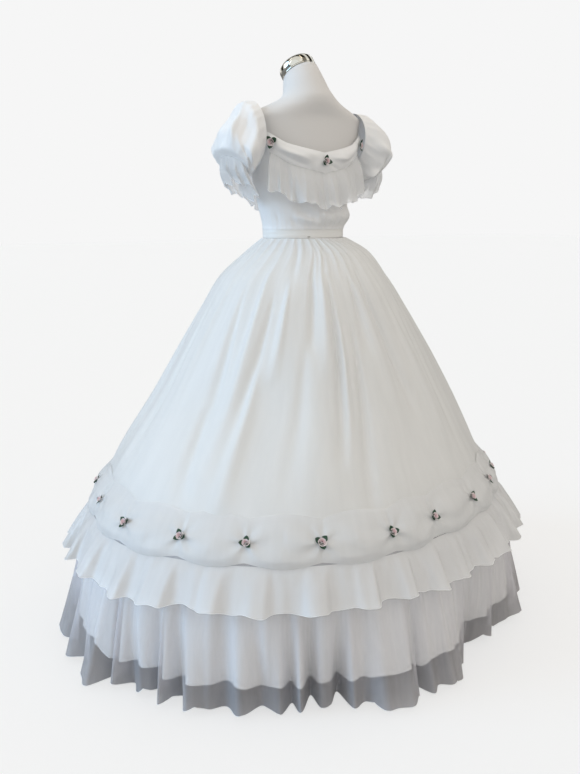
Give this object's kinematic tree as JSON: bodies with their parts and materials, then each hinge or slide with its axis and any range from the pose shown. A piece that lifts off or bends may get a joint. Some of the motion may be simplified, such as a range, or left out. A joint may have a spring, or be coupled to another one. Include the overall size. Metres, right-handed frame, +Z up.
{
  "type": "period costume ball gown on dress form",
  "caption": "Full-skirted white ball gown with off-shoulder puff sleeves, gathered tiers and ribbon roses, on a limbless dress form with pole and base.",
  "frame": {"origin": "centre of the underside of the round base, on the floor", "axes": "+Z up; the gown's front faces -Y, its back +Y, and the wearer's left side is +X"},
  "size_m": [1.4295, 1.3184, 1.5114],
  "materials": {
    "organza": "sheer white organza, soft folds",
    "satin": "opaque white satin with a low sheen",
    "rose_ribbon": "pink and white ribbon rose on green leaves",
    "form_cover": "smooth matt white body form",
    "chrome": "polished",
    "painted_steel": "satin white paint"
  },
  "bodies": {
    "root": {"bodice_front": "organza", "bodice_back_left": "organza", "bodice_back_right": "organza", "waistband": "satin", "back_hook": "chrome", "bertha_band_back": "organza", "bertha_band_front": "organza", "bertha_ruffle_back": "organza", "bertha_ruffle_front": "organza", "sleeve_left": "organza", "sleeve_right": "organza", "sleeve_frill_left": "organza", "sleeve_frill_right": "organza", "skirt_panel_1": "organza", "skirt_panel_2": "organza", "skirt_panel_3": "organza", "skirt_panel_4": "organza", "underskirt_panel_1": "satin", "underskirt_panel_2": "satin", "underskirt_panel_3": "satin", "swag_band_1": "organza", "swag_band_2": "organza", "upper_ruffle_1": "organza", "upper_ruffle_2": "organza", "bottom_flounce_1": "organza", "bottom_flounce_2": "organza", "bottom_flounce_3": "organza", "bottom_flounce_4": "organza", "skirt_rose_01": "rose_ribbon", "skirt_rose_02": "rose_ribbon", "skirt_rose_03": "rose_ribbon", "skirt_rose_04": "rose_ribbon", "skirt_rose_05": "rose_ribbon", "skirt_rose_06": "rose_ribbon", "skirt_rose_07": "rose_ribbon", "skirt_rose_08": "rose_ribbon", "skirt_rose_09": "rose_ribbon", "skirt_rose_10": "rose_ribbon", "skirt_rose_11": "rose_ribbon", "skirt_rose_12": "rose_ribbon", "skirt_rose_13": "rose_ribbon", "skirt_rose_14": "rose_ribbon", "skirt_rose_15": "rose_ribbon", "skirt_rose_16": "rose_ribbon", "skirt_rose_17": "rose_ribbon", "skirt_rose_18": "rose_ribbon", "skirt_rose_19": "rose_ribbon", "skirt_rose_20": "rose_ribbon", "skirt_rose_21": "rose_ribbon", "skirt_rose_22": "rose_ribbon", "rose_back_middle": "rose_ribbon", "rose_back_left": "rose_ribbon", "rose_back_right": "rose_ribbon", "rose_front_middle": "rose_ribbon", "rose_front_left": "rose_ribbon", "rose_front_right": "rose_ribbon", "form_torso": "form_cover", "form_neck_cap": "chrome", "form_pole": "chrome", "form_base": "painted_steel"}
  },
  "joints": []
}
